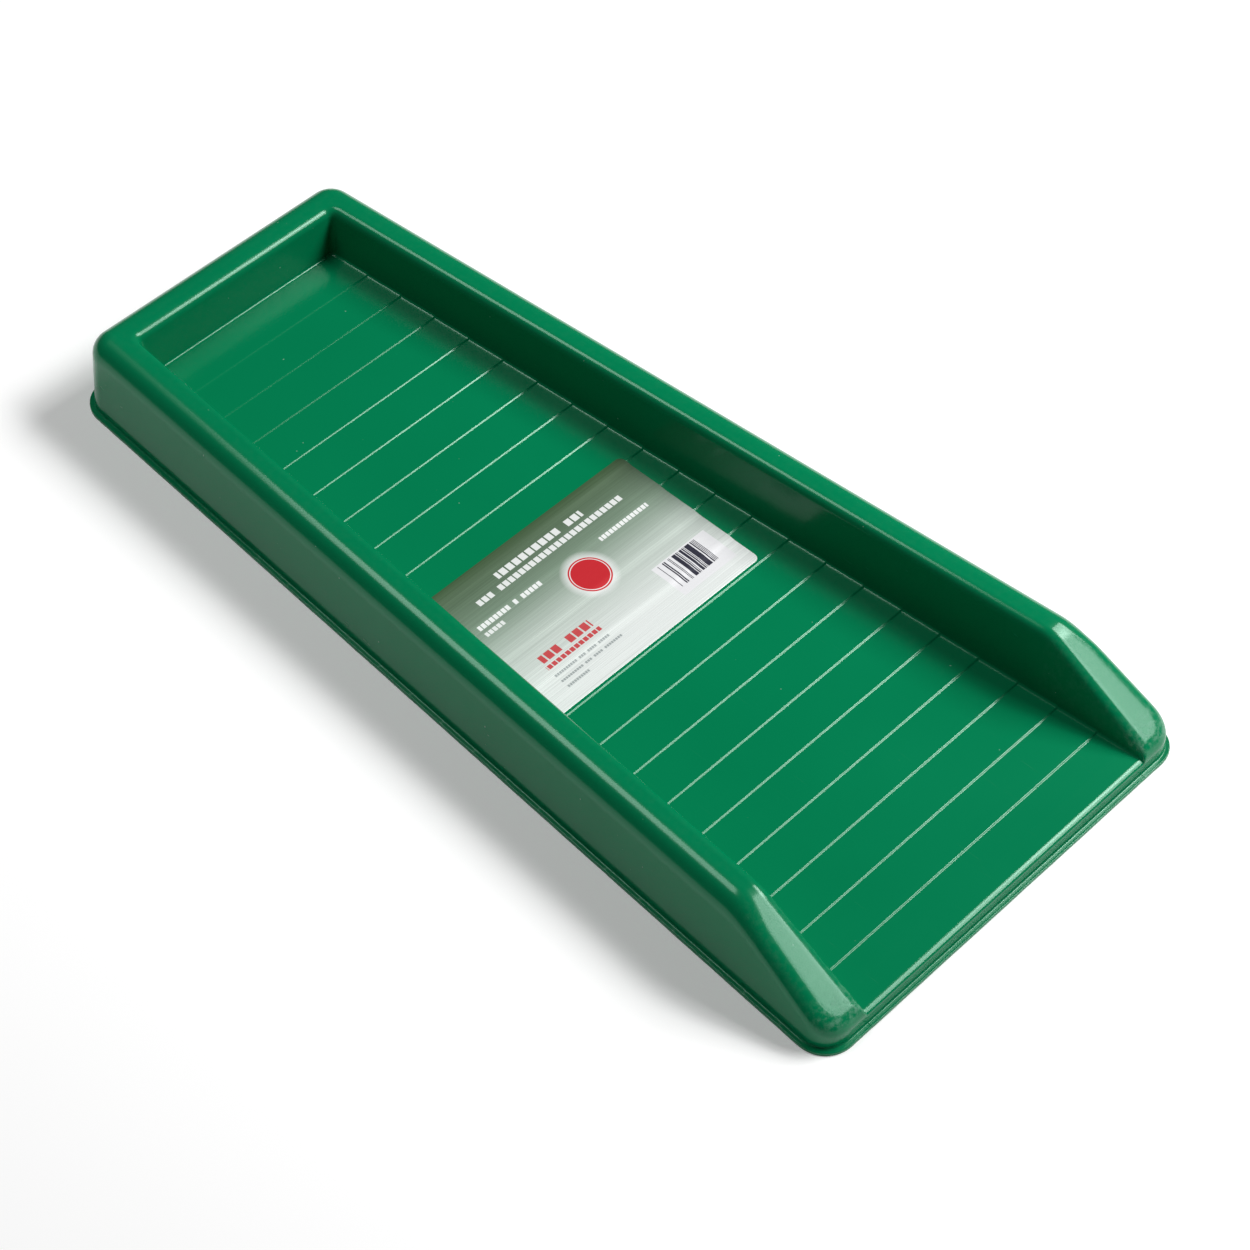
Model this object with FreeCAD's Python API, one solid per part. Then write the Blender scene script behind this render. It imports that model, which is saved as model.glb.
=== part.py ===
"""Downspout splash guard: a one-piece thermoformed tray and its stuck-on label.

Millimetres. +Z is up, +Y points to the closed back end, the water leaves at the open front (-Y).
The origin is on the ground at the centre of the footprint.
"""
import FreeCAD
import Part
import math
import os

Vector = FreeCAD.Vector

# Outline on the ground, measured over the foot flange
LENGTH = 610.0
WIDTH_BACK = 203.2
WIDTH_FRONT = 298.0
RIM_HEIGHT = 53.3
SHEET = 2.5

# Foot flange, the trimmed edge of the formed sheet
FLANGE_WIDTH = 3.2
FLANGE_THICKNESS = 2.0
FLANGE_ROOT_RADIUS = 1.6
FLANGE_LIP_RADIUS = 0.8

# Rim: a hollow wall on the left, back and right
RIM_INSET = 27.2
OUTER_DRAFT = math.radians(1.5)
INNER_DRAFT = math.radians(8.6)
SHOULDER_RADIUS = 13.0
INNER_EDGE_RADIUS = 6.0
CORNER_RADIUS = 15.5
TRAY_CORNER_RADIUS = 5.0

# Side walls slope down to the front end and are rounded over at the tip
SLOPE_START = -229.0
SLOPE_ANGLE = math.atan(0.52)
CREST_RADIUS = 30.0
TIP_RADIUS = 8.0

# Floor: level terraces that step down to the front
FLOOR_BACK = 23.4
STEP_DROP = 0.6
STEP_COUNT = 21
STEP_PITCH = 25.82
FIRST_TERRACE = 27.8
NOSE_RADIUS = 4.0
NOSE_OVERRUN = 0.6

# Label: a thin printed sheet that lies on the terraces
LABEL_LEFT = -87.0
LABEL_RIGHT = 75.0
LABEL_BACK = 43.7
LABEL_FRONT = -62.3
LABEL_CORNER_RADIUS = 3.0
LABEL_THICKNESS = 0.2

# Room beyond the object for the tools that cut it
REACH = 80.0
DEEP = -60.0

TAPER = math.atan((WIDTH_FRONT - WIDTH_BACK) / 2 / LENGTH)


def outer_inset(z, skin):
    """Distance of the outer wall from the flange's edge; skin moves it into the wall."""
    return FLANGE_WIDTH + (z - FLANGE_THICKNESS) * math.tan(OUTER_DRAFT) + skin / math.cos(OUTER_DRAFT)


def inner_inset(z, skin):
    """Distance of the wall on the tray's side from the flange's edge; skin moves it into the wall."""
    return RIM_INSET + (RIM_HEIGHT - z) * math.tan(INNER_DRAFT) - skin / math.cos(INNER_DRAFT)


def half_width(y, inset):
    """Half the width of the outline at y, moved in from the flange's edge."""
    on_edge = WIDTH_FRONT / 2 - (y + LENGTH / 2) * math.tan(TAPER)
    return on_edge - inset / math.cos(TAPER)


def outline(inset, z, front=None):
    """The tapered outline at height z as four corners; front replaces the y of the front edge."""
    y_back = LENGTH / 2 - inset
    y_front = -LENGTH / 2 + inset if front is None else front
    x_back = half_width(y_back, inset)
    x_front = half_width(y_front, inset)
    return [Vector(-x_front, y_front, z), Vector(x_front, y_front, z),
            Vector(x_back, y_back, z), Vector(-x_back, y_back, z)]


def flat_face(points):
    return Part.Face(Part.makePolygon(points + points[:1]))


def drafted_solid(inset, bottom, top, front=None):
    """A solid with four leaning side planes; inset(z) is their distance from the flange's edge."""
    low = outline(inset(bottom), bottom, front)
    high = outline(inset(top), top, front)
    faces = [flat_face(low[::-1]), flat_face(high)]
    for i in range(4):
        j = (i + 1) % 4
        faces.append(flat_face([low[i], low[j], high[j], high[i]]))
    return Part.Solid(Part.makeShell(faces))


def segments(points):
    """Straight edges through points given as (y, z)."""
    corners = [Vector(0, y, z) for y, z in points]
    return [Part.LineSegment(a, b).toShape() for a, b in zip(corners, corners[1:])]


def arc(points):
    """An arc through three points given as (y, z)."""
    return Part.Arc(*[Vector(0, y, z) for y, z in points]).toShape()


def across(edges):
    """A closed side profile pushed across the whole width."""
    profile = Part.Face(Part.Wire(edges))
    profile.translate(Vector(-WIDTH_FRONT, 0, 0))
    return profile.extrude(Vector(2 * WIDTH_FRONT, 0, 0))


def spans(edge):
    """How far an edge runs along X, Y and Z from end to end."""
    start = edge.valueAt(edge.FirstParameter)
    end = edge.valueAt(edge.LastParameter)
    return abs(start.x - end.x), abs(start.y - end.y), abs(start.z - end.z)


def side_edge(shape, z, x_near):
    """The long edge on the right-hand side at height z whose middle is nearest to x_near."""
    found = [e for e in shape.Edges if abs(e.CenterOfMass.z - z) < 0.1 and spans(e)[1] > LENGTH / 2]
    return min(found, key=lambda e: abs(e.CenterOfMass.x - x_near))


def slope_start(skin):
    return SLOPE_START - skin * math.tan(SLOPE_ANGLE / 2)


def tray_hollow(skin):
    """The space between the inner walls, without a floor and open past the front."""
    front = -LENGTH / 2 - 2 * REACH
    hollow = drafted_solid(lambda z: inner_inset(z, skin), 2 * DEEP, RIM_HEIGHT + REACH, front)
    corners = [e for e in hollow.Edges if e.CenterOfMass.y > 0 and spans(e)[2] > RIM_HEIGHT]
    return hollow.makeFillet(TRAY_CORNER_RADIUS + skin, corners)


def rim(skin):
    """The horseshoe of rim walls, longer and deeper than the object."""
    top = RIM_HEIGHT - skin
    start = slope_start(skin)
    front = -LENGTH / 2 - REACH
    far = 2 * front
    slope_end = top - (start - far) * math.tan(SLOPE_ANGLE)
    side_view = [(LENGTH, top), (start, top), (far, slope_end), (far, 4 * DEEP), (LENGTH, 4 * DEEP)]
    body = drafted_solid(lambda z: outer_inset(z, skin), DEEP, top, front)
    body = body.common(across(segments(side_view + side_view[:1])))
    crest = [e for e in body.Edges if spans(e)[0] > WIDTH_BACK and abs(e.CenterOfMass.y - start) < 1]
    body = body.makeFillet(CREST_RADIUS - skin, crest)
    corners = [e for e in body.Edges if e.CenterOfMass.y > 0 and spans(e)[2] > RIM_HEIGHT]
    body = body.makeFillet(CORNER_RADIUS - skin, corners)
    body = body.cut(tray_hollow(skin))
    body = body.makeFillet(INNER_EDGE_RADIUS - skin, [side_edge(body, top, WIDTH_BACK / 4)])
    return body.makeFillet(SHOULDER_RADIUS - skin, [side_edge(body, top, WIDTH_FRONT)])


def terraces(skin, back, front):
    """The stepped floor line from back to front, as (y, z) points."""
    y = LENGTH / 2 - inner_inset(FLOOR_BACK, 0) - FIRST_TERRACE
    z = FLOOR_BACK - skin
    points = []
    for _ in range(STEP_COUNT):
        if y < back:
            points = points or [(back, z)]
            if y > front:
                points += [(y, z), (y, z - STEP_DROP)]
        if y > front:
            z -= STEP_DROP
        y -= STEP_PITCH
    return points + [(front, z)]


def floor(skin):
    """Everything under the stepped floor, between the rim walls."""
    nose = NOSE_RADIUS - skin / 2
    lean = nose * math.sqrt(0.5)
    front = -LENGTH / 2 + outer_inset(FLANGE_THICKNESS, skin) - NOSE_OVERRUN
    line = terraces(skin, LENGTH, front + nose)
    top = line[-1][1]
    nose_arc = arc([(front + nose, top), (front + nose - lean, top - nose + lean), (front, top - nose)])
    foot = [(front, top - nose), (front, DEEP), (LENGTH, DEEP), line[0]]
    prism = across(segments(line) + [nose_arc] + segments(foot))
    within_walls = drafted_solid(lambda z: (outer_inset(z, skin) + inner_inset(z, skin)) / 2,
                                 DEEP / 2, FLOOR_BACK + 1, -LENGTH / 2 - REACH)
    return prism.common(within_walls)


def tip_profile(skin):
    """Side view of the front end: the wall's slope runs over a tip arc into the front face."""
    front = -LENGTH / 2 + outer_inset(RIM_HEIGHT / 3, skin)
    start = slope_start(skin)
    corner = RIM_HEIGHT - skin - (start - front) * math.tan(SLOPE_ANGLE)
    radius = TIP_RADIUS - skin
    half_turn = (math.pi / 2 - SLOPE_ANGLE) / 2
    run = radius * math.tan(half_turn)
    on_slope = (front + run * math.cos(SLOPE_ANGLE), corner + run * math.sin(SLOPE_ANGLE))
    on_front = (front, corner - run)
    middle = (front + radius - radius * math.cos(half_turn), corner - run + radius * math.sin(half_turn))
    lift = corner + (LENGTH - front) * math.tan(SLOPE_ANGLE)
    ahead = front - 1
    rest = [on_front, (ahead, on_front[1] - 1), (ahead, 2 * DEEP), (LENGTH, 2 * DEEP), (LENGTH, lift), on_slope]
    return across([arc([on_slope, middle, on_front])] + segments(rest))


def front_trim(skin, bottom):
    """The tool that ends the part at the front, with rounded plan corners and rounded wall tips."""
    tool = drafted_solid(lambda z: outer_inset(z, skin), bottom, RIM_HEIGHT + 1)
    tool = tool.common(tip_profile(skin))
    corners = [e for e in tool.Edges
               if e.CenterOfMass.y < 0 and spans(e)[2] > TIP_RADIUS / 2 and spans(e)[1] < 1]
    return tool.makeFillet(CORNER_RADIUS - skin, corners)


def form(skin, bottom):
    """The solid under the moulded surface; with a skin it is the hollow on the sheet's underside."""
    return rim(skin).fuse(floor(skin)).common(front_trim(skin, bottom))


def flange():
    """The foot flange as a plate with a softened lip."""
    plate = flat_face(outline(0, 0)).extrude(Vector(0, 0, FLANGE_THICKNESS))
    corners = [e for e in plate.Edges if spans(e)[2] > FLANGE_THICKNESS / 2]
    plate = plate.makeFillet(CORNER_RADIUS + FLANGE_WIDTH, corners)
    lip = [e for e in plate.Edges if e.CenterOfMass.z > FLANGE_THICKNESS - 0.1]
    return plate.makeFillet(FLANGE_LIP_RADIUS, lip[:1])


def tray_shell():
    body = form(0.0, 0.0).fuse(flange()).removeSplitter()
    body = body.makeFillet(FLANGE_ROOT_RADIUS, [side_edge(body, FLANGE_THICKNESS, WIDTH_BACK / 2)])
    return body.cut(form(SHEET, -1.0))


def label_sheet():
    """The label follows the terraces and folds down over each step."""
    under = terraces(0.0, LABEL_BACK, LABEL_FRONT)
    over = [(y - LABEL_THICKNESS, z + LABEL_THICKNESS) for y, z in under[1:-1]]
    over = [(LABEL_BACK, under[0][1] + LABEL_THICKNESS)] + over
    over.append((LABEL_FRONT, under[-1][1] + LABEL_THICKNESS))
    sheet = across(segments(under + over[::-1] + under[:1]))
    width = LABEL_RIGHT - LABEL_LEFT
    stock = Part.makeBox(width, LABEL_BACK - LABEL_FRONT, RIM_HEIGHT, Vector(LABEL_LEFT, LABEL_FRONT, 0))
    corners = [e for e in stock.Edges if spans(e)[2] > RIM_HEIGHT / 2]
    return sheet.common(stock.makeFillet(LABEL_CORNER_RADIUS, corners))


def save(name, shape):
    """Write one piece, which has to be a single valid solid."""
    if len(shape.Solids) != 1 or not shape.isValid():
        raise ValueError(name + " is not one valid solid")
    shape.Solids[0].exportStep("parts/" + name + ".step")


os.makedirs("parts", exist_ok=True)
save("tray_shell", tray_shell())
save("label_sheet", label_sheet())
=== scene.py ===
"""Looks of a moulded splash guard for a downspout: the green tray and the film label on its floor."""

import math

import bpy
import numpy as np
from mathutils import Matrix, Vector


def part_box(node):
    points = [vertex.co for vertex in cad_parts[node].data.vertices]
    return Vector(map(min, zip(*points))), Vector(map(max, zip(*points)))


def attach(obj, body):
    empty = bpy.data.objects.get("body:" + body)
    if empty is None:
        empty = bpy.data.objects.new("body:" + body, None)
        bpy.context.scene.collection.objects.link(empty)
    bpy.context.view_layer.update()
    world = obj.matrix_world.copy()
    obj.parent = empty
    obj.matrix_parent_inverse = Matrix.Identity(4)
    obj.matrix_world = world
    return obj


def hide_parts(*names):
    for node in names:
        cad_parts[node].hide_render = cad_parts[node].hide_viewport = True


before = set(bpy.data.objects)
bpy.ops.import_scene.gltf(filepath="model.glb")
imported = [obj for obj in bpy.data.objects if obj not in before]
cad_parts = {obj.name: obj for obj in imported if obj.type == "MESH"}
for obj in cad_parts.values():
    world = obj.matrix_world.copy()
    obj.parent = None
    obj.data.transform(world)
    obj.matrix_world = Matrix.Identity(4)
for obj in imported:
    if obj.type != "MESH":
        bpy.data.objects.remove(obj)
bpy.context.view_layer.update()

# ---------------------------------------------------------------------------
# Sizes in millimetres, in the frame of the CAD part: Y runs to the closed back
# ---------------------------------------------------------------------------
MM = 0.001

TRAY_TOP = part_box("tray_shell")[1] / MM
LABEL_LOW, LABEL_HIGH = (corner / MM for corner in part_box("label_sheet"))

HALF_LENGTH = TRAY_TOP.y
RIM_HEIGHT = TRAY_TOP.z
WIDTH_BACK = 203.2
WIDTH_FRONT = 298.0
SHEET = 2.5

FLANGE_WIDTH = 3.2
FLANGE_THICKNESS = 2.0
FLANGE_ROOT_RADIUS = 0.9
FLANGE_LIP_RADIUS = 0.5

RIM_INSET = 27.2
OUTER_DRAFT = math.tan(math.radians(1.5))
INNER_DRAFT_ANGLE = math.radians(8.6)
INNER_DRAFT = math.tan(INNER_DRAFT_ANGLE)
SHOULDER_RADIUS = 13.0
SLOPE_SHOULDER_RADIUS = 9.5
SLOPE_FADE = 10.0
TIP_RADIUS = 6.0
INNER_EDGE_RADIUS = 6.2
FOOT_RADIUS = 2.0
# Where a wall is low, its roundings take these shares of its height, and are no smaller than the least
SHOULDER_SHARE = 0.9
INNER_EDGE_SHARE = 0.8
INNER_EDGE_LEAST = 0.5
FOOT_SHARE = 0.2
FOOT_LEAST = 0.2
FOOT_SPREAD = 0.8
FRONT_CORNER = 20.6
BACK_CORNER = 18.7
POCKET_CORNER = 3.0
POCKET_REACH = 5.4

SLOPE_START = -229.0
SLOPE = 0.52
CREST_RADIUS = 30.0

FLOOR_BACK = 23.4
STEP_DROP = 0.6
STEP_COUNT = 21
STEP_PITCH = 25.82
FIRST_STEP = 245.48
STEP_RUN = 1.3
BACK_SOFTNESS = 0.65
SOFT_FROM = 140.0
# The nose, from the floor to the upright front: each arc's first and last turn and its radius
NOSE_ARCS = ((0.0, 13.0, 1.0), (13.0, 33.0, 7.5), (33.0, 90.0, 1.6))
NOSE_ARC_POINTS = 7

LABEL_CORNER = 4.0
LABEL_STEP_RUN = 7.0

TAPER = (WIDTH_FRONT - WIDTH_BACK) / 2 / (2 * HALF_LENGTH)
TAPER_SECANT = math.hypot(1.0, TAPER)
ROOT_TOP = FLANGE_THICKNESS + FLANGE_ROOT_RADIUS
INNER_TURN = math.pi / 2 - INNER_DRAFT_ANGLE
INNER_TANGENT = math.tan(INNER_TURN / 2)
SLOPE_ANGLE = math.atan(SLOPE)
CREST_REACH = CREST_RADIUS * math.tan(SLOPE_ANGLE / 2)
CREST_SPAN = CREST_RADIUS * math.sin(SLOPE_ANGLE)

# How finely each stretch of the surface is divided
LIP_PARTS = 3
ROOT_PARTS = 4
WALL_STATIONS = (0.08, 0.22, 0.42, 0.64, 0.84, 1.0)
SHOULDER_PARTS = 14
FLAT_PARTS = 6
EDGE_PARTS = 9
INNER_WALL_PARTS = 5
FOOT_PARTS = 6
POCKET_PARTS = 5
FLOOR_COLUMNS = 22
STEP_ROWS = 7
BETWEEN_STEPS = 3
CREST_ROWS = 10
FRONT_ROWS = 6
FRONT_BLEND_END = 18.5
ROW_TOLERANCE = 0.01
LABEL_COLUMNS = 40
LABEL_ROWS = 160
LABEL_CORNER_PARTS = 5
SHARP_FROM = math.radians(50)
LEAST_RADIUS = 1e-6
LEAST_LENGTH = 1e-9

# Rings are counted inwards from the flange's edge; a point that is on no ring has FAR
FIRST_WALL_RING = 1 + (LIP_PARTS + 1) + (ROOT_PARTS + 1)
LAST_RING = FIRST_WALL_RING + len(WALL_STATIONS) + SHOULDER_PARTS - 1
FOOT_RING = LAST_RING + FLAT_PARTS + EDGE_PARTS + INNER_WALL_PARTS
DEPTHS = FOOT_RING + FOOT_PARTS + POCKET_PARTS + 1
FAR = 10 * DEPTHS

# ---------------------------------------------------------------------------
# Small faults of the moulding, wear, and how the label lies, in millimetres
# ---------------------------------------------------------------------------
FLOOR_SWELL = 0.12
RIM_SWELL = 0.15
# Each wave of the swell: the distance that one radian takes, and its phase
SWELL_ACROSS = (27.0, 1.3)
SWELL_ALONG = (43.0, 0.4)
SWELL_SLANT = (61.0, 2.1)
SLANT_SHARE = 0.7

# The trimmed edge's unevenness: the distances that one radian takes in x and in y
TRIM_RAGGED = 0.06
RAGGED_SHORT = (1.7, 2.9)
RAGGED_LONG = (5.3, 7.7)
RAGGED_PHASE = 1.0

TIP_WEAR_FROM = -278.0
TIP_WEAR_REACH = 20.0
SLOPE_WEAR = 0.12
SLOPE_WEAR_LEAD = 6.0
SLOPE_WEAR_REACH = 12.0
RIM_WEAR = 0.02
LIP_WEAR = 0.05
WEAR_CLEARANCE = 1.5
WEAR_FADE = 4.0

LABEL_LIFT = 0.02
LABEL_THICKNESS = 0.15

# ---------------------------------------------------------------------------
# The plastic: colours, scales per metre, bump heights in metres
# ---------------------------------------------------------------------------
PLASTIC_DEEP = (0.0, 0.168, 0.064)
PLASTIC_BRIGHT = (0.0, 0.198, 0.078)
PLASTIC_WORN = (0.30, 0.50, 0.40)
PLASTIC_ROUGHNESS = (0.16, 0.19)
PLASTIC_IOR = 1.40
PLASTIC_GLOSS_TINT = (0.70, 1.0, 0.86, 1.0)

# Noise lies between 0 and 1, mostly in this middle part
NOISE_LOW = 0.3
NOISE_HIGH = 0.7

MOTTLE_SCALE = 9.0
MOTTLE_DETAIL = 3.0
GRAIN_SCALE = 900.0
GRAIN_HEIGHT = 0.0000007
PEEL_SCALE = 210.0
PEEL_HEIGHT = 0.000005
BLOT_SCALE = 260.0
BLOT_DETAIL = 5.0
BLOT_ROUGHNESS = 0.7
BLOT_RANGE = (0.44, 0.64)
WORN_COLOUR_SHARE = 0.35
WORN_ROUGHNESS = 0.25
WORN_HEIGHT = 0.000015
HAIR_SCALE = (1400.0, 26.0, 300.0)
HAIR_TURN = 0.25
HAIR_RANGE = (0.70, 0.78)
HAIR_ROUGHNESS = 0.12
SPECK_SCALE = 420.0
SPECK_DETAIL = 0.0
SPECK_RANGE = (0.90, 0.92)
SPECK_COLOUR_SHARE = 0.5

# ---------------------------------------------------------------------------
# The film and its print: colours, and places in millimetres
# ---------------------------------------------------------------------------
# The film's three colours are a painted reflection: bright at the front, a greenish middle, dark at the back
FILM_PAINTED_BRIGHT_REFLECTION = (0.84, 0.88, 0.86)
FILM_PAINTED_MIDDLE_REFLECTION = (0.31, 0.42, 0.33)
FILM_PAINTED_DARK_REFLECTION = (0.055, 0.11, 0.045)
# Shares of the label's length, from its front, over which one colour of the painted reflection turns into the
# next
PAINTED_BRIGHT_TO_MIDDLE = (0.15, 0.70)
PAINTED_MIDDLE_TO_DARK = (0.50, 1.0)
FILM_ROUGHNESS = (0.30, 0.44)
FILM_METALLIC = 0.2
FILM_IOR = 1.5
BRUSH_SCALE = (9.0, 2600.0, 1.0)
BRUSH_DETAIL = 3.0
BRUSH_ROUGHNESS = 0.6
BRUSH_SHADE = (0.86, 1.1)
BRUSH_HEIGHT = 0.00003
BRUSH_STRENGTH = 0.6

INK_WHITE = (0.92, 0.94, 0.93)
INK_RED = (0.62, 0.02, 0.03)
INK_GREY = (0.36, 0.40, 0.40)
INK_PANEL = (0.86, 0.86, 0.88)
INK_BLACK = (0.03, 0.03, 0.05)

DISC_X = -1.5
DISC_Y = -5.0
DISC_RADIUS = 12.5
DISC_EDGE = 0.1
DISC_RING_INSET = 1.2
DISC_RING = (0.35, 0.15)
HALO_WIDTH = 5.0
HALO_SHARE = 0.75
PRINT_EDGE = 0.12
# Each line of print: left, right, front, back, the pitch of its blocks, and its ink
PRINT_LINES = (
    (-40.0, 28.0, 27.5, 32.2, 5.2, INK_WHITE),
    (-63.0, 52.5, 20.6, 24.6, 4.1, INK_WHITE),
    (21.0, 59.5, 7.2, 10.2, 2.9, INK_WHITE),
    (-74.0, -25.0, 8.3, 11.5, 3.1, INK_WHITE),
    (-74.0, -60.0, 2.8, 5.8, 3.1, INK_WHITE),
    (-66.0, -27.0, -31.5, -26.0, 5.6, INK_RED),
    (-67.5, -25.5, -36.6, -33.6, 3.5, INK_RED),
    (-68.5, -25.5, -42.4, -40.8, 1.7, INK_GREY),
    (-68.5, -20.5, -47.2, -45.6, 1.7, INK_GREY),
    (-68.5, -51.5, -52.0, -50.4, 1.7, INK_GREY),
)
BLOCK_WIDTH = 0.8
BLOCKS_PRINTED = 0.88
INK_SHARE = 0.92
STRIPE_PANEL = (25.0, 67.6, -51.8, -26.2)
STRIPE_AREA = (28.5, 59.0, -46.3, -27.2)
STRIPE_PITCH = 0.45
STRIPES_PRINTED = 0.5
STRIPE_SEED = 7.0

# ---------------------------------------------------------------------------
# The studio
# ---------------------------------------------------------------------------
CAMERA_LENS = 105.73
CAMERA_SENSOR = 36.0
CAMERA_AIM = (-3.3, -33.8, 0.0)
CAMERA_DISTANCE = 2.0171
CAMERA_AZIMUTH = -50.24
CAMERA_ELEVATION = 48.74
CAMERA_ROLL = 4.03

FLOOR_SIZE = 12.0
FLOOR_SHADES = ((0.93, 0.93, 0.93), (0.95, 0.95, 0.95))
FLOOR_MOTTLE_SCALE = 3.0
FLOOR_ROUGHNESS = 0.9
FLOOR_SPECULAR = 0.1
FLOOR_GLOW = 0.12
WORLD_COLOUR = (1.0, 1.0, 1.0)
WORLD_STRENGTH = 0.04
LIGHT_DISTANCE = 2.4
# Each light: name, direction from the object, direction of its second side, the lengths of both
# sides in metres, and power in watts
LIGHTS = (
    ("key", (0.66, -0.22, 0.72), (0.0, 0.97, 0.25), (0.85, 1.0), 40.0),
    ("strip", (0.506, -0.447, 0.737), (0.0, 0.90, 0.43), (0.60, 1.15), 27.0),
    ("fill", (-0.10, 0.42, 0.90), (0.0, 0.89, -0.45), (0.9, 0.9), 18.0),
)


# ---------------------------------------------------------------------------
# The moulded surface, worked out on arrays
# ---------------------------------------------------------------------------
def ease(t):
    """0 to 1 with level ends."""
    t = np.clip(t, 0.0, 1.0)
    return t * t * (3.0 - 2.0 * t)


def half_width(y, inset):
    """Half the width of the outline at y, moved in from the flange's edge."""
    return WIDTH_FRONT / 2 - (y + HALF_LENGTH) * TAPER - inset * TAPER_SECANT


def inner_inset(z):
    """Distance of the wall on the tray's side from the flange's edge."""
    return RIM_INSET + (RIM_HEIGHT - z) * INNER_DRAFT


def top_height(y):
    """Height of the rim's top: level to the crest, then down the sloped end."""
    ahead = SLOPE_START + CREST_REACH - y
    on_arc = np.clip(ahead, 0.0, CREST_SPAN)
    drop = CREST_RADIUS - np.sqrt(CREST_RADIUS ** 2 - on_arc ** 2)
    return RIM_HEIGHT - drop - SLOPE * np.maximum(ahead - CREST_SPAN, 0.0)


def step_run(line):
    """How far a step's drop takes: the steps near the back are softer."""
    return STEP_RUN * (1 + BACK_SOFTNESS * ease((line - SOFT_FROM) / (FIRST_STEP - SOFT_FROM)))


def step_lines():
    """The y of each step's middle, from the back to the front."""
    return [FIRST_STEP - step * STEP_PITCH for step in range(STEP_COUNT)]


def floor_height(y, least_run=0.0):
    """Height of the stepped floor; a film laid on it takes at least least_run for each drop."""
    height = np.full_like(y, FLOOR_BACK)
    for line in step_lines():
        top_edge = line + step_run(line) / 2
        height -= STEP_DROP * ease((top_edge - y) / max(step_run(line), least_run))
    return height


def nose_profile():
    """How far out and how far down the nose is from the floor's edge, arc after arc."""
    reach = [np.zeros(1)]
    drop = [np.zeros(1)]
    for first, last, radius in NOSE_ARCS:
        turn = np.radians(np.linspace(first, last, NOSE_ARC_POINTS))
        reach.append(reach[-1][-1] + radius * (np.sin(turn) - np.sin(turn[0])))
        drop.append(drop[-1][-1] + radius * (np.cos(turn[0]) - np.cos(turn)))
    return np.concatenate(reach), np.concatenate(drop)


def nose_height(inset, height):
    """The floor's height near the front edge, where it rolls over the nose."""
    reach, drop = nose_profile()
    upright = FLANGE_WIDTH + (height - drop[-1] - FLANGE_THICKNESS) * OUTER_DRAFT
    roll = height - np.interp(upright + reach[-1] - inset, reach, drop)
    wall = FLANGE_THICKNESS + (inset - FLANGE_WIDTH) / OUTER_DRAFT
    return np.where(inset < upright, np.minimum(wall, roll), roll)


def shoulder_radius(top):
    """The shoulder's radius: smaller down the sloped ends, and where the wall is low."""
    down = ease((RIM_HEIGHT - top) / SLOPE_FADE)
    radius = SHOULDER_RADIUS + (SLOPE_SHOULDER_RADIUS - SHOULDER_RADIUS) * down
    return np.minimum(radius, SHOULDER_SHARE * (top - ROOT_TOP))


def outer_rings(under):
    """The rings from the flange's edge to the rim's top.

    Each is (inset, height, share of the wall, rise, run, lean): the share scales the wall's
    height, rise and run the shoulder radius, lean the draft. An underside flange lies flat.
    """
    flange = []
    for part in range(LIP_PARTS + 1):
        turn = math.pi / 2 * part / LIP_PARTS
        flange.append((FLANGE_LIP_RADIUS * (1 - math.cos(turn)),
                       FLANGE_THICKNESS - FLANGE_LIP_RADIUS * (1 - math.sin(turn))))
    for part in range(ROOT_PARTS + 1):
        turn = math.pi / 2 * part / ROOT_PARTS
        flange.append((FLANGE_WIDTH - FLANGE_ROOT_RADIUS * (1 - math.sin(turn)),
                       FLANGE_THICKNESS + FLANGE_ROOT_RADIUS * (1 - math.cos(turn))))
    if under:
        spacing = (FLANGE_WIDTH + SHEET) / len(flange)
        flange = [(spacing * (n + 1), 0.0) for n in range(len(flange))]
    rings = [(0.0, 0.0, 0.0, 0.0, 0.0, 0.0)]
    rings += [(inset, height, 0.0, 0.0, 0.0, 0.0) for inset, height in flange]
    rings += [(FLANGE_WIDTH, ROOT_TOP, share, 0.0, 0.0, 1.0) for share in WALL_STATIONS]
    for part in range(1, SHOULDER_PARTS + 1):
        turn = math.pi / 2 * part / SHOULDER_PARTS
        rings.append((FLANGE_WIDTH, ROOT_TOP, 1.0, math.sin(turn), 1 - math.cos(turn), 1.0))
    return np.array(rings)


def ring_inset(ring, top, radius):
    """Inset of a ring from outer_rings where the rim's top and the shoulder's radius are these."""
    inset, base, share, _, run, lean = ring.T
    wall = base + share * (top - radius - base)
    return inset + lean * (wall - FLANGE_THICKNESS) * OUTER_DRAFT + radius * run


def ring_height(ring, top, radius):
    """Height of a ring from outer_rings where the rim's top and the shoulder's radius are these."""
    _, base, share, rise, _, _ = ring.T
    return base + share * (top - radius - base) + radius * rise


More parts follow.
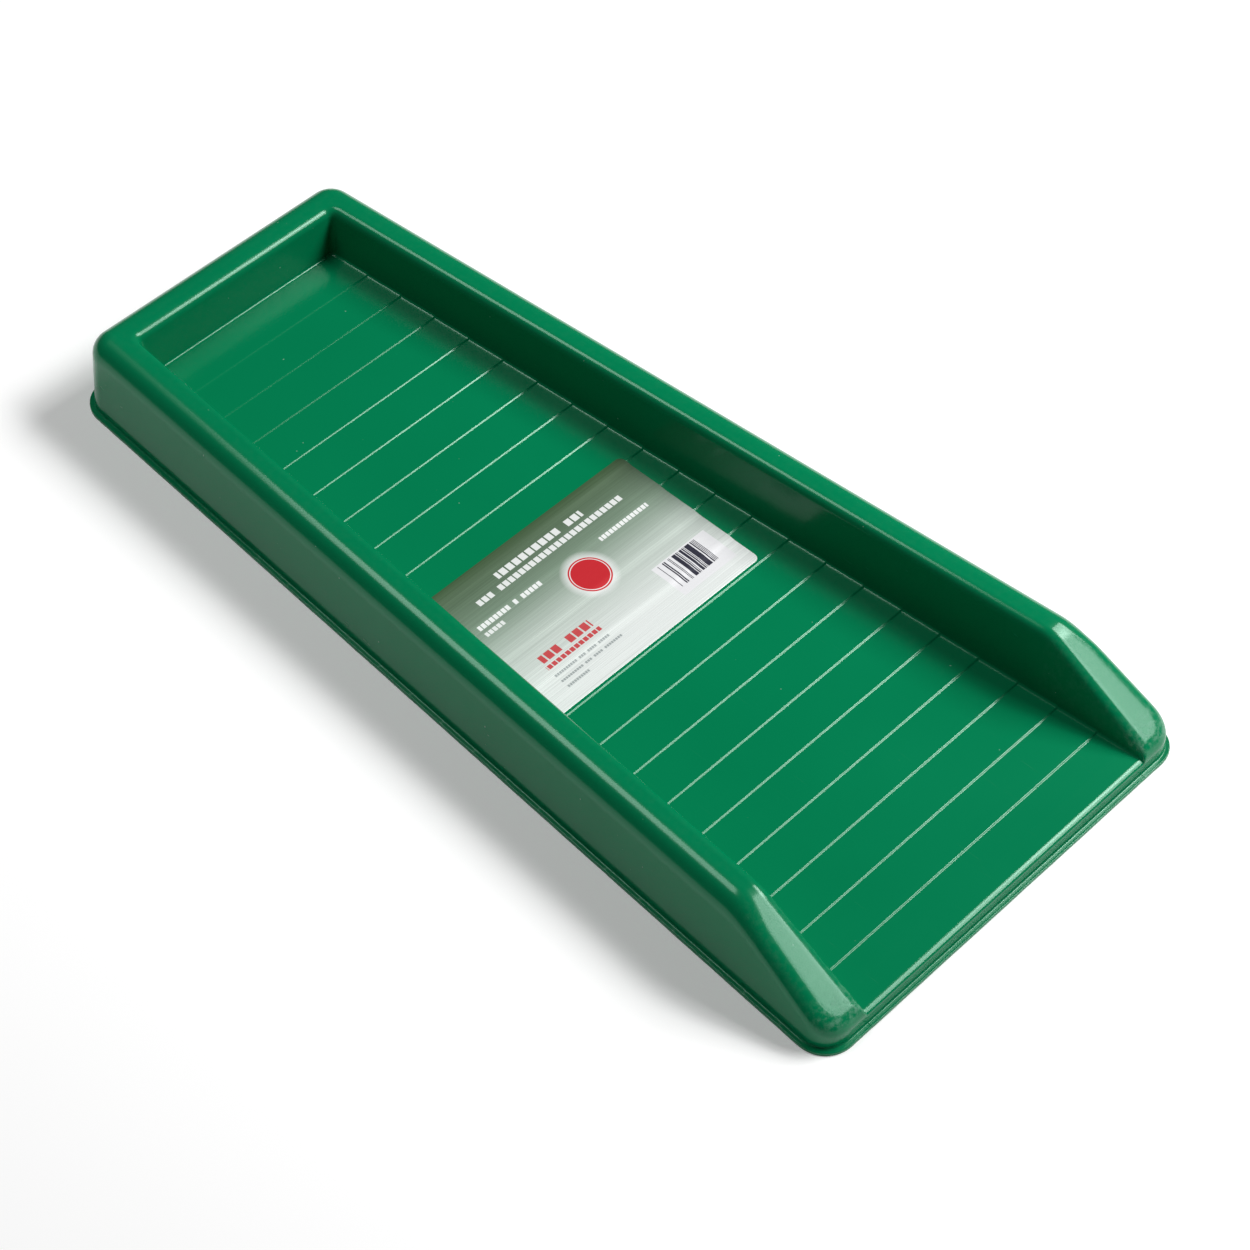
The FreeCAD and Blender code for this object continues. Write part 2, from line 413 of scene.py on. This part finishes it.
def inner_section(start, top, low):
    """Insets and heights from the rim's flat over the inner edge, down the wall, to the floor."""
    edge = np.clip(INNER_EDGE_SHARE * (top - low), INNER_EDGE_LEAST, INNER_EDGE_RADIUS)
    foot = np.clip(FOOT_SHARE * (top - low), FOOT_LEAST, FOOT_RADIUS)
    edge_from = inner_inset(top) - edge * INNER_TANGENT
    insets = [start + (edge_from - start) * n / FLAT_PARTS for n in range(1, FLAT_PARTS + 1)]
    heights = [top] * FLAT_PARTS
    for part in range(1, EDGE_PARTS + 1):
        turn = INNER_TURN * part / EDGE_PARTS
        insets.append(edge_from + edge * math.sin(turn))
        heights.append(top - edge * (1 - math.cos(turn)))
    spread = FOOT_SPREAD * (1 - ease((top - low) / INNER_EDGE_RADIUS))
    centre = inner_inset(low) + foot * INNER_TANGENT + spread
    wall_from = (insets[-1], heights[-1])
    wall_to = (centre - foot * math.sin(INNER_TURN), low + foot * (1 - math.cos(INNER_TURN)))
    for part in range(1, INNER_WALL_PARTS + 1):
        share = part / INNER_WALL_PARTS
        insets.append(wall_from[0] + (wall_to[0] - wall_from[0]) * share)
        heights.append(wall_from[1] + (wall_to[1] - wall_from[1]) * share)
    for part in range(1, FOOT_PARTS + 1):
        turn = INNER_TURN * (1 - part / FOOT_PARTS)
        insets.append(centre - foot * math.sin(turn))
        heights.append(low + foot * (1 - math.cos(turn)))
    for part in range(1, POCKET_PARTS + 1):
        insets.append(centre + POCKET_REACH * part / POCKET_PARTS)
        heights.append(low)
    return insets, [np.maximum(height, low) for height in heights]


def middle_rows(front, back):
    """The y of each row between the front rings and the back wall: close at steps and the crest."""
    rows = set()
    for line in step_lines():
        run = step_run(line)
        gap = (STEP_PITCH - run) / (BETWEEN_STEPS + 1)
        rows.update(line + run * np.linspace(-0.5, 0.5, STEP_ROWS))
        rows.update(line + run / 2 + gap * (n + 1) for n in range(BETWEEN_STEPS))
    rows.update(SLOPE_START + CREST_REACH * np.linspace(-1.0, 1.0, CREST_ROWS))
    rows.update(np.linspace(front, step_lines()[-1] - STEP_RUN / 2, FRONT_ROWS)[1:-1])
    kept = [front]
    for y in sorted(rows):
        if kept[-1] + STEP_RUN / STEP_ROWS < y + ROW_TOLERANCE and y < back - STEP_RUN:
            kept.append(y)
    return kept + [back]


class Plan:
    """Where the grid's rows lie, and what the front and back rings give each of them."""

    def __init__(self, under):
        rings = outer_rings(under)
        tip_top = float(top_height(np.array(FLANGE_WIDTH - HALF_LENGTH)))
        front = ring_inset(rings, tip_top, TIP_RADIUS)
        blend = np.linspace(front[-1], FRONT_BLEND_END, FLAT_PARTS + 1)[1:]
        self.front = np.concatenate([front, blend])
        back = ring_inset(rings, RIM_HEIGHT, SHOULDER_RADIUS)
        back_heights = ring_height(rings, RIM_HEIGHT, SHOULDER_RADIUS)
        inner, inner_heights = inner_section(back[-1], RIM_HEIGHT, FLOOR_BACK)
        self.back = np.concatenate([back, inner])
        self.back_heights = np.concatenate([back_heights, inner_heights])
        middle = middle_rows(self.front[-1] - HALF_LENGTH, HALF_LENGTH - self.back[-1])
        self.y = np.concatenate([self.front[:-1] - HALF_LENGTH, middle, HALF_LENGTH - self.back[-2::-1]])
        rows = np.arange(len(self.y))
        self.from_front = np.where(rows < len(self.front), rows, FAR)
        self.from_back = np.where(rows[::-1] < DEPTHS, rows[::-1], FAR)
        edge_end = self.back[LAST_RING + FLAT_PARTS + EDGE_PARTS]
        inside = ease((np.arange(DEPTHS) - LAST_RING) / FLAT_PARTS)
        pocket_radius = POCKET_CORNER + np.maximum(edge_end - self.back, 0.0)
        radius = (1 - inside) * (BACK_CORNER - self.back) + inside * pocket_radius
        self.back_centre = np.minimum(self.back + radius, self.back[-1])


def side_columns(plan, rings):
    """Insets and heights of one side's columns at every row, as arrays of rows by depth."""
    top = top_height(plan.y)
    radius = shoulder_radius(top)
    insets = [ring_inset(ring, top, radius) for ring in rings]
    heights = [ring_height(ring, top, radius) for ring in rings]
    crown = top.copy()
    at_front = len(rings)
    crown[:at_front] = ring_height(rings, top[:at_front], TIP_RADIUS)
    low = nose_height(plan.y + HALF_LENGTH, floor_height(plan.y))
    low = np.minimum(low, crown)
    low[:FIRST_WALL_RING] = crown[:FIRST_WALL_RING]
    inner, inner_heights = inner_section(insets[-1], crown, low)
    return np.stack(insets + inner, 1), np.stack(heights + inner_heights, 1), low


def around(centre_a, radius_a, centre_b, radius_b, near, other, start):
    """Bend a ring round a corner. Returns its inset from a, from b, and its turn from a to b.

    near says whether side a is the nearer one; other is the inset from the farther side and
    start is that inset at the corner's middle.
    """
    centre = np.where(near, centre_b, centre_a)
    along = np.clip((centre - other) / np.maximum(centre - start, LEAST_RADIUS), 0.0, 1.0)
    turn = np.where(near, np.arctan(along), math.pi / 2 - np.arctan(along))
    return centre_a - radius_a * np.cos(turn), centre_b - radius_b * np.sin(turn), turn


def back_corners(plan, depth, inset, height):
    """Bend the rings round the back corners. Returns the grid's insets, y and heights."""
    y = plan.y[:, None]
    deep = plan.from_back[:, None]
    nearest = np.minimum(depth, deep)
    level = np.clip(nearest, 0, DEPTHS - 1)
    near = depth <= deep
    ring_in = np.where(near, inset, plan.back[level])
    centre = plan.back_centre[level]
    other = np.where(near, HALF_LENGTH - y, inset)
    bend = (nearest < DEPTHS) & (other < centre) & (y > 0)
    radius = centre - ring_in
    round_in, round_back, _ = around(centre, radius, centre, radius, near, other, ring_in)
    height = np.where(deep < np.minimum(depth, DEPTHS), plan.back_heights[level], height)
    return np.where(bend, round_in, inset), np.where(bend, HALF_LENGTH - round_back, y), height


def front_corners(plan, rings, depth, inset, side_insets):
    """Bend the rings round the front corners. Returns where, and the insets, y and heights there."""
    y = plan.y[:, None]
    deep = plan.from_front[:, None]
    nearest = np.minimum(depth, deep)
    level = np.clip(nearest, 0, len(plan.front) - 1)
    outer_level = np.minimum(level, LAST_RING)
    near = depth <= deep
    row = np.arange(len(plan.y))[:, None]
    ring_in = side_insets[row, level]
    ring_front = plan.front[level]
    fade = 1.0 - np.clip((level - LAST_RING) / FLAT_PARTS, 0.0, 1.0)
    radius_in = (FRONT_CORNER - side_insets[row, outer_level]) * fade
    radius_front = (FRONT_CORNER - plan.front[outer_level]) * fade
    centre_in = ring_in + radius_in
    centre_front = ring_front + radius_front
    other = np.where(near, y + HALF_LENGTH, inset)
    start = np.where(near, ring_front, ring_in)
    bend = (nearest < len(plan.front)) & (other < np.where(near, centre_front, centre_in)) & (y < 0)
    round_in, round_front, turn = around(centre_in, radius_in, centre_front, radius_front, near, other, start)
    round_y = round_front - HALF_LENGTH
    top = top_height(round_y)
    shoulder = shoulder_radius(top) * np.cos(turn) ** 2 + TIP_RADIUS * np.sin(turn) ** 2
    height = ring_height(rings[outer_level], top.T, shoulder.T).T
    return bend, round_in, round_y, np.where(level > LAST_RING, top, height)


def tray_points(under):
    """The grid's points on one side of the sheet, rows by columns, and each point's ring."""
    plan = Plan(under)
    rings = outer_rings(under)
    side_insets, side_heights, low = side_columns(plan, rings)
    fractions = np.linspace(-1.0, 1.0, FLOOR_COLUMNS + 2)[1:-1]
    foot_row = len(plan.y) - DEPTHS
    foot_x = half_width(plan.y, side_insets[:, -1])
    foot_x[foot_row:] = foot_x[foot_row]
    floor_x = foot_x[:, None] * np.abs(fractions)
    floor_insets = (half_width(plan.y, 0.0)[:, None] - floor_x) / TAPER_SECANT
    floor_heights = np.repeat(low[:, None], FLOOR_COLUMNS, 1)
    straight = np.hstack([side_insets, floor_insets, side_insets[:, ::-1]])
    height = np.hstack([side_heights, floor_heights, side_heights[:, ::-1]])
    side = np.hstack([-np.ones(DEPTHS), np.sign(fractions), np.ones(DEPTHS)])
    depths = np.arange(DEPTHS)
    depth = np.hstack([depths, np.full(FLOOR_COLUMNS, FAR), depths[::-1]])[None, :]

    inset, y, height = back_corners(plan, depth, straight, height)
    bend, round_in, round_y, round_height = front_corners(plan, rings, depth, straight, side_insets)
    inset = np.where(bend, round_in, inset)
    y = np.where(bend, round_y, y)
    height = np.where(bend, round_height, height)
    ring = np.minimum(depth, np.minimum(plan.from_back, plan.from_front)[:, None])
    return np.stack([side * half_width(y, inset), y, height], -1), ring


def ripple(distance, radian, phase):
    """A sine wave over a distance; radian is the distance that one radian takes."""
    return np.sin(distance / radian + phase)


def wave(x, y):
    """A slow uneven swell between -1 and 1."""
    crossed = ripple(x, *SWELL_ACROSS) * ripple(y, *SWELL_ALONG)
    return (crossed + SLANT_SHARE * ripple(x + y, *SWELL_SLANT)) / (1 + SLANT_SHARE)


def worn_sheet(points, ring):
    """The moulding's small faults: a swell in floor and rim, and a flange trimmed a little unevenly."""
    x, y, z = points[..., 0], points[..., 1], points[..., 2]
    floor_share = ease((ring - FOOT_RING) / FOOT_PARTS)
    swell = wave(x, y)
    on_rim = np.clip((z - ROOT_TOP) / (RIM_HEIGHT - ROOT_TOP), 0.0, 1.0) * (1 - floor_share)
    points[..., 2] += FLOOR_SWELL * swell * floor_share - RIM_SWELL * (0.5 + 0.5 * swell) * on_rim
    rows, columns = ring.shape
    steady = FIRST_WALL_RING - ROOT_PARTS - 1
    row = np.clip(np.arange(rows), steady, rows - 1 - steady)[:, None]
    column = np.clip(np.arange(columns), steady, columns - 1 - steady)[None, :]
    short = np.sin(x / RAGGED_SHORT[0]) * np.sin(y / RAGGED_SHORT[1])
    long = np.sin(x / RAGGED_LONG[0] + y / RAGGED_LONG[1] + RAGGED_PHASE)
    ragged = (2 + short + long) / 4  # from 0 to 1
    pull = np.where(ring < steady, TRIM_RAGGED * ragged, 0.0)
    points[..., :2] += (points[row, column, :2] - points[..., :2]) * pull[..., None]
    return points


def grid_normals(points):
    """Unit normals at a grid's points, away from the sheet's upper side."""
    down_rows = np.gradient(points, axis=0)
    along_columns = np.gradient(points, axis=1)
    normals = np.cross(along_columns, down_rows)
    return normals / np.maximum(np.linalg.norm(normals, axis=-1, keepdims=True), LEAST_LENGTH)


def scuffs(points, ring):
    """How worn each point is, from 0 to 1: the tips most, then the slopes, the rim and the lip."""
    y, z = points[..., 1], points[..., 2]
    upper = ease((ring - FIRST_WALL_RING) / (LAST_RING - FIRST_WALL_RING))
    above_floor = ease((z - floor_height(y) - WEAR_CLEARANCE) / WEAR_FADE)
    on_rim = upper * above_floor
    tip = ease((TIP_WEAR_FROM - y) / TIP_WEAR_REACH) * on_rim
    slope = SLOPE_WEAR * ease((SLOPE_START + SLOPE_WEAR_LEAD - y) / SLOPE_WEAR_REACH) * on_rim
    rim = RIM_WEAR * on_rim
    lip = LIP_WEAR * (ring < FIRST_WALL_RING - ROOT_PARTS)
    return np.maximum.reduce([tip, slope, rim, lip])


def grid_faces(index, flip):
    """Quads over a grid whose points are numbered by the index array."""
    a = index[:-1, :-1]
    b = index[:-1, 1:]
    c = index[1:, 1:]
    d = index[1:, :-1]
    corners = (a, d, c, b) if flip else (a, b, c, d)
    return np.stack(corners, -1).reshape(-1, 4)


def closed_sheet(name, upper, lower, wear):
    """A closed mesh from two grids that share their outer edge, in metres, with a wear attribute."""
    rows, columns, _ = upper.shape
    count = rows * columns
    upper_index = np.arange(count).reshape(rows, columns)
    lower_index = upper_index.copy()
    inside = rows - 2, columns - 2
    lower_index[1:-1, 1:-1] = count + np.arange(inside[0] * inside[1]).reshape(inside)
    points = np.vstack([upper.reshape(-1, 3), lower[1:-1, 1:-1].reshape(-1, 3)]) * MM
    faces = np.vstack([grid_faces(upper_index, False), grid_faces(lower_index, True)])
    mesh = bpy.data.meshes.new(name)
    mesh.from_pydata(points.tolist(), [], faces.tolist())
    mesh.validate()
    mesh.shade_smooth()
    mesh.set_sharp_from_angle(angle=SHARP_FROM)
    layer = mesh.attributes.new("wear", "FLOAT", "POINT")
    layer.data.foreach_set("value", np.concatenate([wear.ravel(), np.zeros(len(points) - count)]))
    piece = bpy.data.objects.new(name, mesh)
    bpy.context.scene.collection.objects.link(piece)
    weighted = piece.modifiers.new("face_weights", "WEIGHTED_NORMAL")
    weighted.keep_sharp = True
    return piece


def make_tray():
    """The formed sheet: its upper skin, and a lower one a sheet's thickness away."""
    upper, ring = tray_points(False)
    upper = worn_sheet(upper, ring)
    flange_under, _ = tray_points(True)
    lower = upper - SHEET * grid_normals(upper)
    lower = np.where((ring < FIRST_WALL_RING)[..., None], flange_under, lower)
    return closed_sheet("moulded_tray", upper, lower, scuffs(upper, ring))


def label_stations(length, count):
    """Places along one side of the label, close together at its rounded corners."""
    in_corner = LABEL_CORNER * (1 - np.cos(np.linspace(0, math.pi / 2, LABEL_CORNER_PARTS + 1)))
    between = np.linspace(LABEL_CORNER, length - LABEL_CORNER, count)[1:-1]
    return np.concatenate([in_corner, between, length - in_corner[::-1]])


def make_label():
    """The film, laid on the floor and softened over each step, with rounded corners."""
    width = LABEL_HIGH.x - LABEL_LOW.x
    length = LABEL_HIGH.y - LABEL_LOW.y
    across = label_stations(width, LABEL_COLUMNS)
    along = label_stations(length, LABEL_ROWS)
    inset_x, inset_y = np.meshgrid(np.minimum(across, width - across), np.minimum(along, length - along))
    nearest = np.minimum(inset_x, inset_y)
    farther = np.maximum(inset_x, inset_y)
    radius = LABEL_CORNER - nearest
    turn = np.arctan(np.clip((LABEL_CORNER - farther) / np.maximum(radius, LEAST_RADIUS), 0.0, 1.0))
    bend = farther < LABEL_CORNER
    round_near = np.where(bend, LABEL_CORNER - radius * np.cos(turn), nearest)
    round_far = np.where(bend, LABEL_CORNER - radius * np.sin(turn), farther)
    x_inset = np.where(inset_x <= inset_y, round_near, round_far)
    y_inset = np.where(inset_x <= inset_y, round_far, round_near)
    right, back = np.meshgrid(across > width / 2, along > length / 2)
    x = np.where(right, LABEL_HIGH.x - x_inset, LABEL_LOW.x + x_inset)
    y = np.where(back, LABEL_HIGH.y - y_inset, LABEL_LOW.y + y_inset)
    bed = floor_height(y, LABEL_STEP_RUN) + FLOOR_SWELL * wave(x, y)
    upper = np.stack([x, y, bed + LABEL_LIFT + LABEL_THICKNESS], -1)
    lower = np.stack([x, y, bed + LABEL_LIFT], -1)
    edge = np.ones_like(x, bool)
    edge[1:-1, 1:-1] = False
    upper[edge] = (upper[edge] + lower[edge]) / 2
    return closed_sheet("label_film", upper, lower, np.zeros_like(x))


# ---------------------------------------------------------------------------
# Materials
# ---------------------------------------------------------------------------
# A Mix node has sockets of one name for each data type; these are the ones for colours
MIX_SHARE = 0
MIX_ONE = 6
MIX_OTHER = 7
MIX_COLOUR = 2


class Tree:
    """Short calls that add nodes to one material; each returns the socket that it makes."""

    def __init__(self, name):
        self.material = bpy.data.materials.new(name)
        self.material.use_nodes = True
        self.nodes = self.material.node_tree.nodes
        self.links = self.material.node_tree.links
        self.shader = self.nodes["Principled BSDF"]
        self.place = self.add("ShaderNodeTexCoord", {}).outputs["Object"]
        parts = self.add("ShaderNodeSeparateXYZ", {"Vector": self.place})
        self.x, self.y, _ = parts.outputs

    def add(self, kind, inputs, **settings):
        node = self.nodes.new(kind)
        for key, value in settings.items():
            setattr(node, key, value)
        for key, value in inputs.items():
            if isinstance(value, bpy.types.NodeSocket):
                self.links.new(value, node.inputs[key])
            else:
                node.inputs[key].default_value = value
        return node

    def sum(self, operation, *values):
        return self.add("ShaderNodeMath", dict(enumerate(values)), operation=operation).outputs[0]

    def stretch(self, scale, turn=0.0):
        return self.add("ShaderNodeMapping", {"Vector": self.place, "Scale": scale,
                                              "Rotation": (0.0, 0.0, turn)}).outputs[0]

    def noise(self, where, scale, detail=2.0, roughness=0.5):
        return self.add("ShaderNodeTexNoise", {"Vector": where, "Scale": scale, "Detail": detail,
                                               "Roughness": roughness}).outputs["Fac"]

    def ramp(self, value, low, high, to_low=0.0, to_high=1.0):
        return self.add("ShaderNodeMapRange", {"Value": value, "From Min": low, "From Max": high,
                                               "To Min": to_low, "To Max": to_high}).outputs[0]

    def mix(self, share, one, other):
        node = self.add("ShaderNodeMix", {MIX_SHARE: share}, data_type="RGBA")
        for key, value in ((MIX_ONE, one), (MIX_OTHER, other)):
            if isinstance(value, bpy.types.NodeSocket):
                self.links.new(value, node.inputs[key])
            else:
                node.inputs[key].default_value = (*value, 1.0)
        return node.outputs[MIX_COLOUR]

    def wear(self):
        return self.add("ShaderNodeAttribute", {}, attribute_name="wear").outputs["Fac"]

    def bump(self, height, distance, strength=1.0, under=None):
        inputs = {"Height": height, "Distance": distance, "Strength": strength}
        if under is not None:
            inputs["Normal"] = under
        return self.add("ShaderNodeBump", inputs).outputs[0]

    def set(self, **values):
        for key, value in values.items():
            socket = self.shader.inputs[key.replace("_", " ")]
            if isinstance(value, bpy.types.NodeSocket):
                self.links.new(value, socket)
            else:
                socket.default_value = value


def plastic():
    """Glossy green sheet: a faint mottle, fine grain, hairline scratches, scuffs where it is worn."""
    tree = Tree("green_moulded_plastic")
    mottle = tree.noise(tree.place, MOTTLE_SCALE, MOTTLE_DETAIL)
    grain = tree.noise(tree.place, GRAIN_SCALE)
    peel = tree.noise(tree.place, PEEL_SCALE)
    blots = tree.noise(tree.place, BLOT_SCALE, BLOT_DETAIL, BLOT_ROUGHNESS)
    worn = tree.sum("MULTIPLY", tree.wear(), tree.ramp(blots, *BLOT_RANGE))
    hair = tree.noise(tree.stretch(HAIR_SCALE, HAIR_TURN), 1.0)
    scratches = tree.ramp(hair, *HAIR_RANGE)
    specks = tree.ramp(tree.noise(tree.place, SPECK_SCALE, SPECK_DETAIL), *SPECK_RANGE)

    colour = tree.mix(mottle, PLASTIC_DEEP, PLASTIC_BRIGHT)
    colour = tree.mix(tree.sum("MULTIPLY", worn, WORN_COLOUR_SHARE), colour, PLASTIC_WORN)
    colour = tree.mix(tree.sum("MULTIPLY", specks, SPECK_COLOUR_SHARE), colour, PLASTIC_WORN)
    roughness = tree.ramp(mottle, NOISE_LOW, NOISE_HIGH, *PLASTIC_ROUGHNESS)
    roughness = tree.sum("ADD", roughness, tree.sum("MULTIPLY", worn, WORN_ROUGHNESS))
    roughness = tree.sum("ADD", roughness, tree.sum("MULTIPLY", scratches, HAIR_ROUGHNESS))
    normal = tree.bump(peel, PEEL_HEIGHT)
    normal = tree.bump(grain, GRAIN_HEIGHT, under=normal)
    normal = tree.bump(worn, WORN_HEIGHT, under=normal)
    tree.set(Base_Color=colour, Roughness=roughness, Normal=normal, IOR=PLASTIC_IOR,
             Specular_Tint=PLASTIC_GLOSS_TINT)
    return tree.material


class Print:
    """Masks for the label's print, from places on the label in millimetres."""

    def __init__(self, tree):
        self.tree = tree
        self.across = tree.sum("DIVIDE", tree.x, MM)
        self.along = tree.sum("DIVIDE", tree.y, MM)

    def off_middle(self, place, low, high):
        """Distance outside the stretch from low to high, negative inside it."""
        off = self.tree.sum("ABSOLUTE", self.tree.sum("SUBTRACT", place, (low + high) / 2))
        return self.tree.sum("SUBTRACT", off, (high - low) / 2)

    def box(self, left, right, front, back):
        """1 inside a rectangle."""
        off_x = self.off_middle(self.across, left, right)
        off_y = self.off_middle(self.along, front, back)
        return self.tree.ramp(self.tree.sum("MAXIMUM", off_x, off_y), PRINT_EDGE, -PRINT_EDGE)

    def cells(self, pitch, fill, seed):
        """1 or 0 in cells of the given pitch along X, chosen at random but always the same."""
        cell = self.tree.sum("FLOOR", self.tree.sum("DIVIDE", self.across, pitch))
        chosen = self.tree.add("ShaderNodeTexWhiteNoise", {"W": self.tree.sum("ADD", cell, seed)},
                               noise_dimensions="1D").outputs["Value"]
        return self.tree.sum("LESS_THAN", chosen, fill)

    def blocks(self, left, right, front, back, pitch):
        """A row of blocks with gaps between them, some of them left out at random."""
        within = self.tree.sum("FRACT", self.tree.sum("DIVIDE", self.across, pitch))
        block = self.tree.sum("LESS_THAN", within, BLOCK_WIDTH)
        row = self.tree.sum("MULTIPLY", self.box(left, right, front, back),
                            self.cells(pitch, BLOCKS_PRINTED, left))
        return self.tree.sum("MULTIPLY", row, block)

    def from_disc(self):
        """Distance from the disc's middle."""
        off_x = self.tree.sum("SUBTRACT", self.across, DISC_X)
        off_y = self.tree.sum("SUBTRACT", self.along, DISC_Y)
        squares = self.tree.sum("ADD", self.tree.sum("MULTIPLY", off_x, off_x),
                                self.tree.sum("MULTIPLY", off_y, off_y))
        return self.tree.sum("SQRT", squares)


def brushed_film_with_painted_reflection(tree, along, streaks):
    """The film's colour with a painted reflection in it, pale at the front and dark at the back, streaked
    across.
    """
    fade = tree.ramp(along, LABEL_LOW.y, LABEL_HIGH.y)
    film_with_painted_reflection = tree.mix(tree.ramp(fade, *PAINTED_BRIGHT_TO_MIDDLE), FILM_PAINTED_BRIGHT_REFLECTION, FILM_PAINTED_MIDDLE_REFLECTION)
    film_with_painted_reflection = tree.mix(tree.ramp(fade, *PAINTED_MIDDLE_TO_DARK), film_with_painted_reflection, FILM_PAINTED_DARK_REFLECTION)
    shade = tree.ramp(streaks, NOISE_LOW, NOISE_HIGH, *BRUSH_SHADE)
    return tree.add("ShaderNodeVectorMath", {0: film_with_painted_reflection, "Scale": shade}, operation="SCALE").outputs[0]


def film():
    """Brushed metallic film with a painted reflection, pale at the front and dark at the back, and rows of
    blocks, a disc and random stripes in place of its print.
    """
    tree = Tree("printed_brushed_film")
    marks = Print(tree)
    streaks = tree.noise(tree.stretch(BRUSH_SCALE), 1.0, BRUSH_DETAIL, BRUSH_ROUGHNESS)
    colour = brushed_film_with_painted_reflection(tree, marks.along, streaks)

    away = marks.from_disc()
    halo = tree.ramp(away, DISC_RADIUS + HALO_WIDTH, DISC_RADIUS, 0.0, HALO_SHARE)
    disc = tree.ramp(away, DISC_RADIUS + DISC_EDGE, DISC_RADIUS - DISC_EDGE)
    off_ring = tree.sum("ABSOLUTE", tree.sum("SUBTRACT", away, DISC_RADIUS - DISC_RING_INSET))
    colour = tree.mix(halo, colour, INK_WHITE)
    colour = tree.mix(disc, colour, INK_RED)
    colour = tree.mix(tree.ramp(off_ring, *DISC_RING), colour, INK_WHITE)
    for left, right, front, back, pitch, ink in PRINT_LINES:
        row = marks.blocks(left, right, front, back, pitch)
        colour = tree.mix(tree.sum("MULTIPLY", row, INK_SHARE), colour, ink)
    colour = tree.mix(marks.box(*STRIPE_PANEL), colour, INK_PANEL)
    stripes = tree.sum("MULTIPLY", marks.box(*STRIPE_AREA),
                       marks.cells(STRIPE_PITCH, STRIPES_PRINTED, STRIPE_SEED))
    colour = tree.mix(stripes, colour, INK_BLACK)

    roughness = tree.ramp(streaks, NOISE_LOW, NOISE_HIGH, *FILM_ROUGHNESS)
    normal = tree.bump(streaks, BRUSH_HEIGHT, BRUSH_STRENGTH)
    tree.set(Base_Color=colour, Roughness=roughness, Normal=normal, Metallic=FILM_METALLIC, IOR=FILM_IOR)
    return tree.material


def floor_material():
    """A matt white that glows a little, so that it stays white in the object's surroundings."""
    tree = Tree("pale_studio_floor")
    mottle = tree.noise(tree.place, FLOOR_MOTTLE_SCALE, MOTTLE_DETAIL)
    tree.set(Base_Color=tree.mix(mottle, *FLOOR_SHADES), Roughness=FLOOR_ROUGHNESS,
             Specular_IOR_Level=FLOOR_SPECULAR, Emission_Color=(1.0, 1.0, 1.0, 1.0),
             Emission_Strength=FLOOR_GLOW)
    return tree.material


# ---------------------------------------------------------------------------
# Stage: floor, lights and camera
# ---------------------------------------------------------------------------
def make_floor():
    """A white square under the object, kept out of the part."""
    mesh = bpy.data.meshes.new("studio_floor")
    half = FLOOR_SIZE / 2
    corners = [(-half, -half, 0), (half, -half, 0), (half, half, 0), (-half, half, 0)]
    mesh.from_pydata(corners, [], [(0, 1, 2, 3)])
    plane = bpy.data.objects.new("studio_floor", mesh)
    bpy.context.scene.collection.objects.link(plane)
    mesh.materials.append(floor_material())


def softbox(name, direction, second_side, size, power):
    """A rectangular soft light in a direction from the object, facing it, turned to its second side."""
    light = bpy.data.lights.new(name, "AREA")
    light.shape = "RECTANGLE"
    light.size, light.size_y = size
    light.energy = power
    lamp = bpy.data.objects.new(name, light)
    bpy.context.scene.collection.objects.link(lamp)
    back = Vector(direction).normalized()
    across = Vector(second_side).cross(back).normalized()
    facing = Matrix((across, back.cross(across), back)).transposed()
    lamp.matrix_world = Matrix.Translation(back * LIGHT_DISTANCE) @ facing.to_4x4()


def make_world():
    """A faint even light from everywhere."""
    world = bpy.data.worlds.new("studio")
    world.use_nodes = True
    background = world.node_tree.nodes["Background"]
    background.inputs["Color"].default_value = (*WORLD_COLOUR, 1.0)
    background.inputs["Strength"].default_value = WORLD_STRENGTH
    bpy.context.scene.world = world


def make_camera():
    """A long lens from the front left, above, turned a little about its own axis."""
    data = bpy.data.cameras.new("camera")
    data.lens = CAMERA_LENS
    data.sensor_width = CAMERA_SENSOR
    camera = bpy.data.objects.new("camera", data)
    bpy.context.scene.collection.objects.link(camera)
    turned = Matrix.Rotation(math.radians(CAMERA_AZIMUTH), 4, "Z")
    tilted = Matrix.Rotation(math.radians(90.0 - CAMERA_ELEVATION), 4, "X")
    rolled = Matrix.Rotation(math.radians(CAMERA_ROLL), 4, "Z")
    back_off = Matrix.Translation((0.0, 0.0, CAMERA_DISTANCE))
    camera.matrix_world = Matrix.Translation(Vector(CAMERA_AIM) * MM) @ turned @ tilted @ rolled @ back_off
    bpy.context.scene.camera = camera


make_camera()
make_world()
make_floor()
for light in LIGHTS:
    softbox(*light)
bpy.context.scene.view_settings.view_transform = "Standard"

tray = make_tray()
tray.data.materials.append(plastic())
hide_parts("tray_shell")
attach(tray, "root")

label = make_label()
label.data.materials.append(film())
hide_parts("label_sheet")
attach(label, "root")
